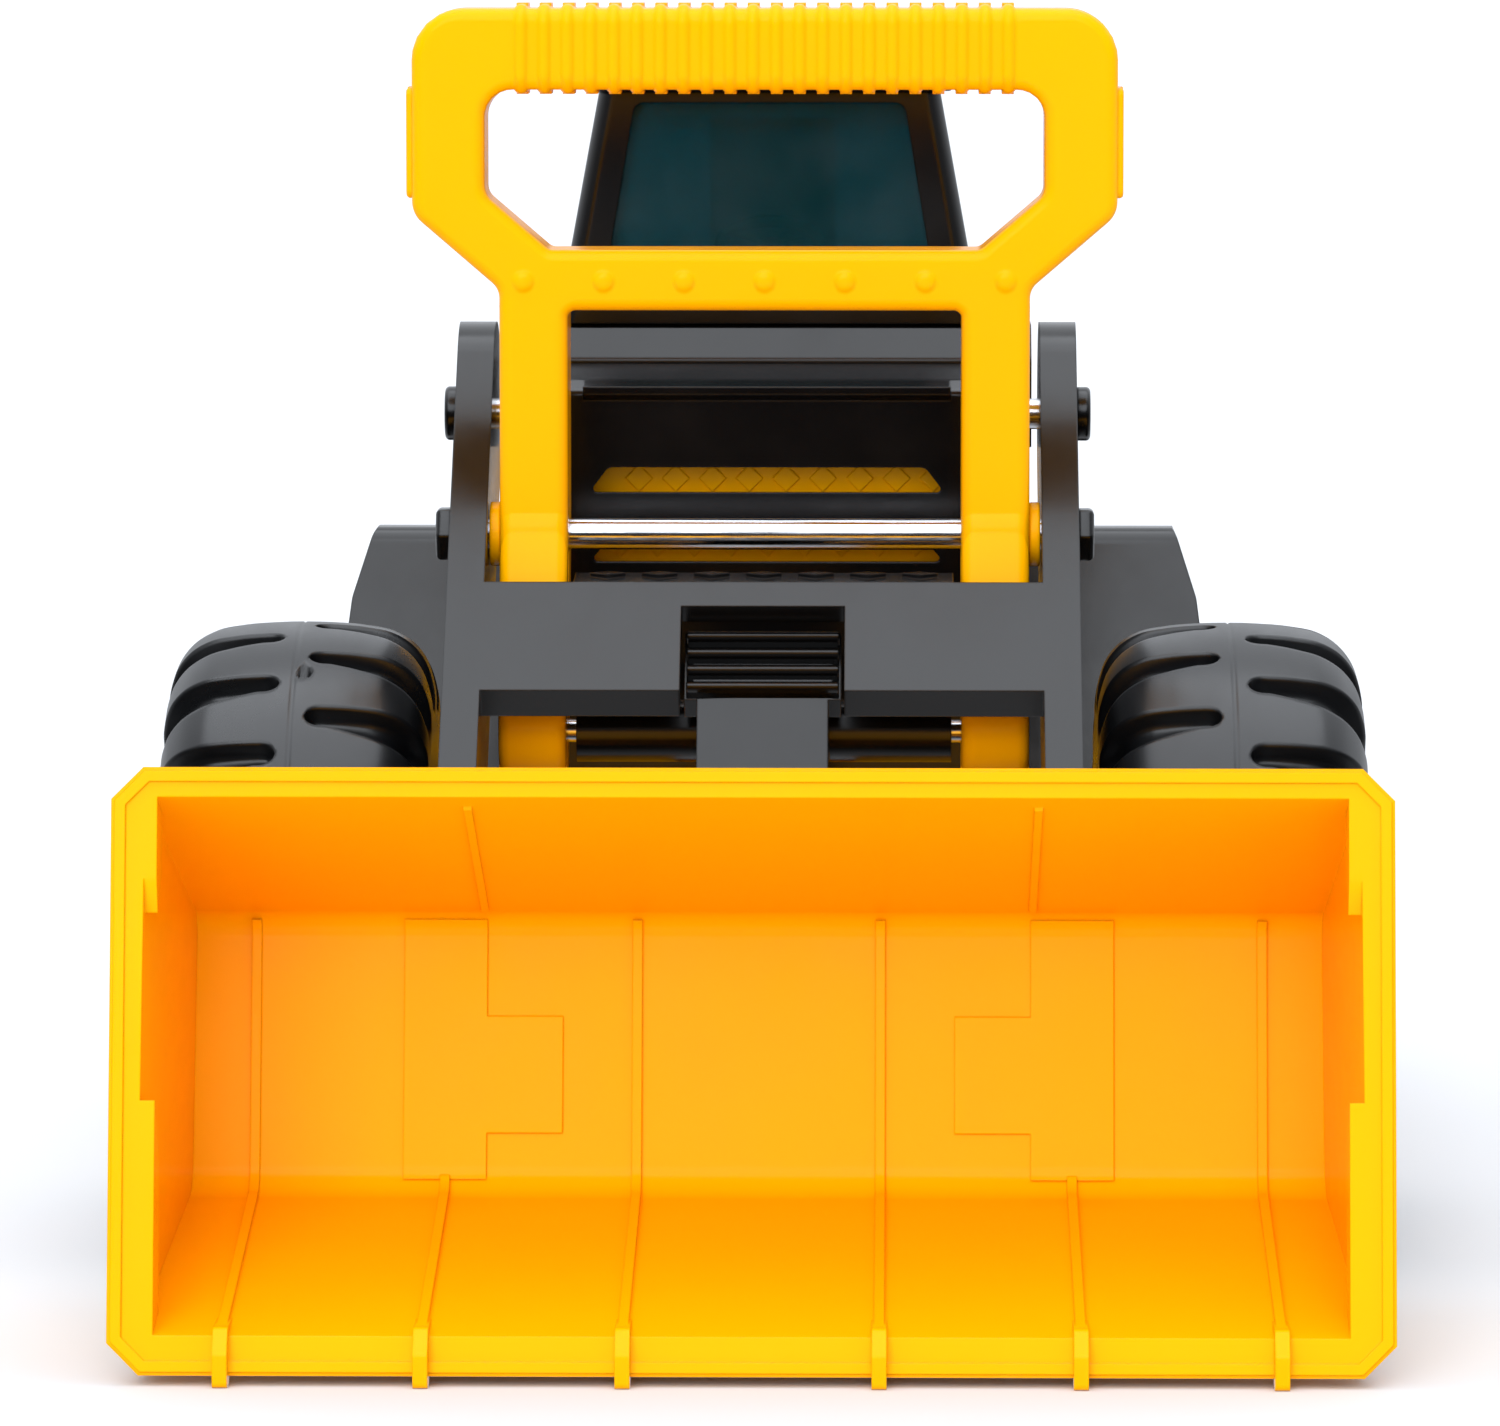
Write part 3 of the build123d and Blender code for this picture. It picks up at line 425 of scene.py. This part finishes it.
def groove_grid(run):
    """For each place along the section and each step round one pitch: angle in degrees, sunk depth in mm."""
    pitch = 360.0 / GROOVES
    inside = np.array(GROOVE_SPOTS)
    sink = np.array(GROOVE_SINK)
    outside = np.linspace(0, 1, SIDE_STEPS + 1)[1:-1]
    steps = len(inside) + len(outside)
    even = np.arange(steps) / steps * pitch
    angles = np.zeros((len(run), steps))
    depths = np.zeros((len(run), steps))
    for row, place in enumerate(run):
        past_tip = np.clip((place - GROOVE_TIP) / 4.2, 0, 1)
        round_end = math.sqrt(max(0.0, 1 - (1 - past_tip) ** 2))
        grown = np.clip((place - GROOVE_FULL) / 24.0, 0, 1.25)
        top = -2.3 * round_end - 0.4 * grown
        low = 2.5 * round_end + 4.6 * grown
        in_groove = top + (inside + 1) / 2 * (low - top)
        between = low + outside * (pitch + top - low)
        follow = float(ease(place / GROOVE_TIP))
        angles[row] = np.concatenate([in_groove, between]) * follow + (even - 1.0) * (1 - follow)
        strength = round_end * float(1 - ease((place - FADE_START) / (FADE_END - FADE_START)))
        depths[row, : len(inside)] = sink * GROOVE_DEPTH * min(1.0, strength * 1.15)
    return angles, depths


def tyre_points(phase):
    """Points of both flanks, as (section place, turn, xyz) grids that share their middle row."""
    run, half_x, radius, out_x, out_r = tyre_section()
    angles, depths = groove_grid(run)
    pitch = 360.0 / GROOVES
    flanks = []
    for flank, shift in ((-1, phase), (1, phase + pitch / 2)):
        turned = np.concatenate([angles + sector * pitch for sector in range(GROOVES)], axis=1) + shift
        deep = np.tile(depths, (1, GROOVES))
        turned = np.radians(turned)
        x = flank * (half_x[:, None] - deep * out_x[:, None])
        r = radius[:, None] - deep * out_r[:, None]
        flanks.append(np.stack([x, -r * np.sin(turned), r * np.cos(turned)], axis=2) * MM)
    left, right = flanks
    left[0] = np.roll(right[0], angles.shape[1] // 2, axis=0)
    return left, right


def tyre_faces(levels, count):
    """Quads of both flanks, the right one's turned the other way."""
    faces = []
    for block, flip in ((0, False), (levels * count, True)):
        for row in range(levels - 1):
            base = block + row * count
            for k in range(count):
                after = (k + 1) % count
                near = (base + k, base + after, base + count + after, base + count + k)
                faces.append(near[::-1] if flip else near)
    return faces


def tyre_mesh(name, material, phase):
    """One whole tyre about the X axis, its middle at the origin."""
    left, right = tyre_points(phase)
    points = np.concatenate([left.reshape(-1, 3), right.reshape(-1, 3)])
    faces = tyre_faces(left.shape[0], left.shape[1])
    obj = mesh_object(name, points, faces, material)
    weld = bmesh.new()
    weld.from_mesh(obj.data)
    bmesh.ops.remove_doubles(weld, verts=weld.verts, dist=SEAM_REACH)
    bmesh.ops.recalc_face_normals(weld, faces=weld.faces)
    inner_rings(weld)
    weld.to_mesh(obj.data)
    weld.free()
    obj.data.shade_smooth()
    return obj


def inner_rings(mesh):
    """Closes the tyre on its inner side: a wall from bead to bead behind the tread."""
    loops = [e for e in mesh.edges if e.is_boundary]
    made = bmesh.ops.extrude_edge_only(mesh, edges=loops)
    for vert in [v for v in made["geom"] if isinstance(v, bmesh.types.BMVert)]:
        radial = math.hypot(vert.co.y, vert.co.z)
        scale = BORE_RADIUS / radial
        vert.co = Vector((vert.co.x * BORE_NARROWING, vert.co.y * scale, vert.co.z * scale))


def sink_vent(mesh):
    """The small blow hole beside the left tyres' parting line."""
    across, out = VENT_RADIUS * math.sin(VENT_TURN), VENT_RADIUS * math.cos(VENT_TURN)
    spot = Vector((VENT_OFFSET, -across, out)) * MM
    inward = -spot.normalized()
    for vert in mesh.vertices:
        away = (vert.co - spot).length
        if away < VENT_REACH:
            vert.co += inward * VENT_DEPTH * min(1.0, 1.6 * (1 - (away / VENT_REACH) ** 2))


def make_tyres(materials):
    """Four blow-moulded tyres in place of the plain CAD ones."""
    for end in ("front", "rear"):
        for hand in ("left", "right"):
            name = f"{end}_{hand}"
            low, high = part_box(f"{name}_tyre")
            centre = (low + high) / 2
            phase = LEFT_PHASE if hand == "left" else RIGHT_PHASE
            obj = tyre_mesh(f"{name}_tyre_moulded", materials["tyre_plastic"], phase)
            if hand == "left":
                sink_vent(obj.data)
            obj.data.transform(Matrix.Translation(centre))
            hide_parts(f"{name}_tyre")
            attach(obj, f"{name}_wheel")


# ---- Lever ----
LEVER_FRONT = -90.0
PARTING = -78.2
LEVER_REAR = -66.0
GRIP_LOW, GRIP_HIGH = 295.5, 316.0
LEVER_HALF = 89.5
GRIP_ROUND = 4
EDGE_ROUND = 3.0
RIVET_PITCH = 20.4
RIVET_HEIGHT = 247
PAD_FRONT = -87
PAD_FACE = 91.0
RIDGES = 22
RIDGE_PITCH = 5.88
RIDGE_PROUD = 1.25


def rounded(corners, steps=7):
    """A closed outline of (a, b, radius) corners with their arcs put in, each arc in even steps."""
    points = []
    count = len(corners)
    for index, (a, b, radius) in enumerate(corners):
        here = np.array([a, b], float)
        back = np.array(corners[index - 1][:2]) - here
        ahead = np.array(corners[(index + 1) % count][:2]) - here
        back, ahead = back / np.linalg.norm(back), ahead / np.linalg.norm(ahead)
        if radius == 0:
            points.append(here)
            continue
        half = math.acos(float(np.clip(back @ ahead, -1, 1))) / 2
        centre = here + (back + ahead) / np.linalg.norm(back + ahead) * radius / math.sin(half)
        first, last = here + back * radius / math.tan(half), here + ahead * radius / math.tan(half)
        for share in np.linspace(0, 1, steps):
            way = (first - centre) * (1 - share) + (last - centre) * share
            points.append(centre + way / np.linalg.norm(way) * radius)
    return np.array(points)


def shrunk(loop, inset):
    """The outline moved inwards along its corners' normals; holes run the other way round."""
    back, ahead = loop - np.roll(loop, 1, axis=0), np.roll(loop, -1, axis=0) - loop
    back /= np.linalg.norm(back, axis=1)[:, None]
    ahead /= np.linalg.norm(ahead, axis=1)[:, None]
    normal = np.stack([-(back + ahead)[:, 1], (back + ahead)[:, 0]], axis=1)
    normal /= np.linalg.norm(normal, axis=1)[:, None]
    lean = np.clip(normal[:, 0] * -ahead[:, 1] + normal[:, 1] * ahead[:, 0], 0.4, 1)
    return loop + normal * (inset / lean)[:, None]


def slab_parts(loops, stations, place):
    """A plate from outlines with holes, drawn in at each (depth, inset) station and closed at both ends."""
    points, faces, starts = [], [], []
    for loop in loops:
        starts.append(len(points))
        count = len(loop)
        for depth, inset in stations:
            points += [place(a, b, depth) for a, b in shrunk(loop, inset)]
        for level in range(len(stations) - 1):
            base = starts[-1] + level * count
            for k in range(count):
                after = (k + 1) % count
                faces.append((base + k, base + after, base + count + after, base + count + k))
    for end in (0, len(stations) - 1):
        rings = [shrunk(loop, stations[end][1]) for loop in loops]
        ids = [start + end * len(loop) + k for start, loop in zip(starts, loops) for k in range(len(loop))]
        flat = tessellate_polygon([[Vector((a, b, 0)) for a, b in ring] for ring in rings])
        faces += [tuple(ids[k] for k in face) for face in flat]
    return points, faces


def facing_forward(across, height, depth):
    """Places a plate's outline on an upright plane across the object."""
    return (across, depth, height)


def facing_sideways(along, height, depth):
    """Places a plate's outline on an upright plane along the object."""
    return (depth, along, height)


def round_stations(front, back, radius, back_radius):
    """Stations with a quarter-round edge at each end."""
    stations = []
    turn = 1 if back > front else -1
    for angle in np.linspace(90, 0, 7):
        t = math.radians(angle)
        stations.append((front + turn * radius * (1 - math.cos(math.pi / 2 - t)), radius * (1 - math.cos(t))))
    for angle in np.linspace(0, 90, 4):
        t = math.radians(angle)
        stations.append((back - turn * back_radius * (1 - math.sin(t)), back_radius * (1 - math.cos(t))))
    return stations


def join_parts(name, parts, material):
    """One mesh object from several (points, faces) parts, with outward normals."""
    points, faces = [], []
    for part_points, part_faces in parts:
        base = len(points)
        points += [tuple(v * MM for v in p) for p in part_points]
        faces += [tuple(base + k for k in face) for face in part_faces]
    obj = mesh_object(name, points, faces, material)
    work = bmesh.new()
    work.from_mesh(obj.data)
    bmesh.ops.recalc_face_normals(work, faces=work.faces)
    work.to_mesh(obj.data)
    work.free()
    obj.data.shade_smooth()
    shade = obj.modifiers.new("shade", "WEIGHTED_NORMAL")
    shade.weight = 90
    return obj


def lever_outline():
    """The front shell's outline, legs included, and its finger hole, as seen from the front."""
    leg, inner = 67.4, 50.0
    half = LEVER_HALF
    outer = [
        (-half, 264, 7), (-leg, 245, 5), (-leg, 178, 0), (-inner, 178, 0),
        (-inner, 239.6, 2), (inner, 239.6, 2), (inner, 178, 0), (leg, 178, 0),
        (leg, 245, 5), (half, 264, 7), (half, GRIP_HIGH, 13), (-half, GRIP_HIGH, 13),
    ]
    hole = [(-54.7, 255, 3), (-71, 269, 5), (-71, 295.5, 7), (71, 295.5, 7), (71, 269, 5), (54.7, 255, 3)]
    return [rounded(outer), rounded(hole)]


def grip_sleeve():
    """The ridged sleeve round the grip: half-round ridges that stand proud all the way round."""
    half = RIDGE_PITCH * RIDGES / 2
    xs = np.arange(-half, half + 0.01, RIDGE_PITCH / 12)
    corners = [(y, z, GRIP_ROUND) for y in (LEVER_FRONT, LEVER_REAR) for z in (GRIP_LOW, GRIP_HIGH)]
    section = rounded([corners[0], corners[2], corners[3], corners[1]], 6)
    points, faces = [], []
    count = len(section)
    for x in xs:
        away = abs((x / RIDGE_PITCH) % 1.0 - 0.5) * RIDGE_PITCH
        swell = RIDGE_PROUD * math.sqrt(max(0.0, 1 - (away / 1.65) ** 2)) - 0.12
        points += [(x, y, z) for y, z in shrunk(section, -swell)]
    for row in range(len(xs) - 1):
        for k in range(count):
            base, after = row * count, (k + 1) % count
            faces.append((base + k, base + after, base + count + after, base + count + k))
    return points, faces


def rivet(x, z):
    """A low domed head on the lever's front face."""
    points, faces = [], []
    profile = [(3.1, 0.25), (2.75, -0.02), (2.5, -0.28), (2.1, -0.62), (1.4, -0.88), (0.6, -1.0)]
    count = 28
    for radius, out in profile:
        for k in range(count):
            turn = 2 * math.pi * k / count
            points.append((x + radius * math.cos(turn), LEVER_FRONT + out, z + radius * math.sin(turn)))
    for row in range(len(profile) - 1):
        for k in range(count):
            after = (k + 1) % count
            base = row * count
            faces.append((base + k, base + after, base + count + after, base + count + k))
    faces.append(tuple((len(profile) - 1) * count + k for k in range(count)))
    return points, faces


def leg_outline():
    """The front half of a leg from the side, as (y, z): down past the rod, then back to the link's pin."""
    top, foot = np.array([-78.0, 182.0]), np.array([-93.0, 133.0])
    along = (foot - top) / np.linalg.norm(foot - top)
    across = np.array([along[1], -along[0]]) * 12.0
    if across[0] > 0:
        across = -across
    face = LEVER_FRONT + 0.15
    points = [(PARTING, 188), (face, 188), (face, 182), tuple(top + across + along * 2)]
    for turn in np.linspace(0, 90, 10):
        t = math.radians(turn)
        points.append(tuple(foot + across * math.cos(t) + along * 12 * math.sin(t)))
    return np.array(points + [(PARTING, 182)])


def make_lever(materials):
    """The lever's front shell with soft edges, ridged grip, rivets and side pads, in place of the CAD one."""
    yellow = materials["yellow_plastic"]
    front = round_stations(LEVER_FRONT, PARTING, EDGE_ROUND, 0.3)
    parts = [slab_parts(lever_outline(), front, facing_forward)]
    pad = rounded([(PAD_FRONT, 268, 2), (PARTING, 268, 0), (PARTING, 296, 0), (PAD_FRONT, 296, 2)])
    for hand in (-1, 1):
        leg = round_stations(50.1 * hand, 67.3 * hand, EDGE_ROUND, EDGE_ROUND)
        parts.append(slab_parts([leg_outline()], leg, facing_sideways))
        side = round_stations(PAD_FACE * hand, (LEVER_HALF - 1) * hand, 1.0, 0.2)
        parts.append(slab_parts([pad], side, facing_sideways))
    parts.append(grip_sleeve())
    parts += [rivet(index * RIVET_PITCH, RIVET_HEIGHT) for index in range(-3, 4)]
    shell = join_parts("lever_front_moulded", parts, yellow)
    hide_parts("lever_front_shell")
    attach(shell, "lever")


# ---- Tilt link ----
SLOPE_START = (-150.0, 131.0)
SLOPE_ANGLE = math.radians(43.5)
TEETH = 4
FIRST_TOOTH = 30.4
TOOTH_PITCH = 5.6
TOOTH_SHAPE = ((0, 11.4), (0.6, 7.6), (1.7, 7.2), (5.0, 10.2), (5.0, 11.4))


def slope(along, depth):
    """The (y, z) of a place along the boom's front plane and this deep behind it."""
    c, s = math.cos(SLOPE_ANGLE), math.sin(SLOPE_ANGLE)
    return (SLOPE_START[0] + along * c + depth * s, SLOPE_START[1] + along * s - depth * c)


def make_link_ridges(materials):
    """Saw-tooth ridges on the link's upper pad, seen through the crossplate's recess."""
    parts = []
    stations = [(-19.2, 0.3), (-18.9, 0), (18.9, 0), (19.2, 0.3)]
    for index in range(TEETH):
        start = FIRST_TOOTH + index * TOOTH_PITCH
        corners = [(start + along, depth) for along, depth in TOOTH_SHAPE]
        tooth = np.array([slope(*corner) for corner in corners])[::-1]
        parts.append(slab_parts([tooth], stations, facing_sideways))
    ridges = join_parts("link_ridges", parts, materials["black_plastic"])
    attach(ridges, "link")


make_camera()
make_studio()
MATERIALS = make_materials()
dress_cad(MATERIALS)
make_tyres(MATERIALS)
make_lever(MATERIALS)
make_link_ridges(MATERIALS)
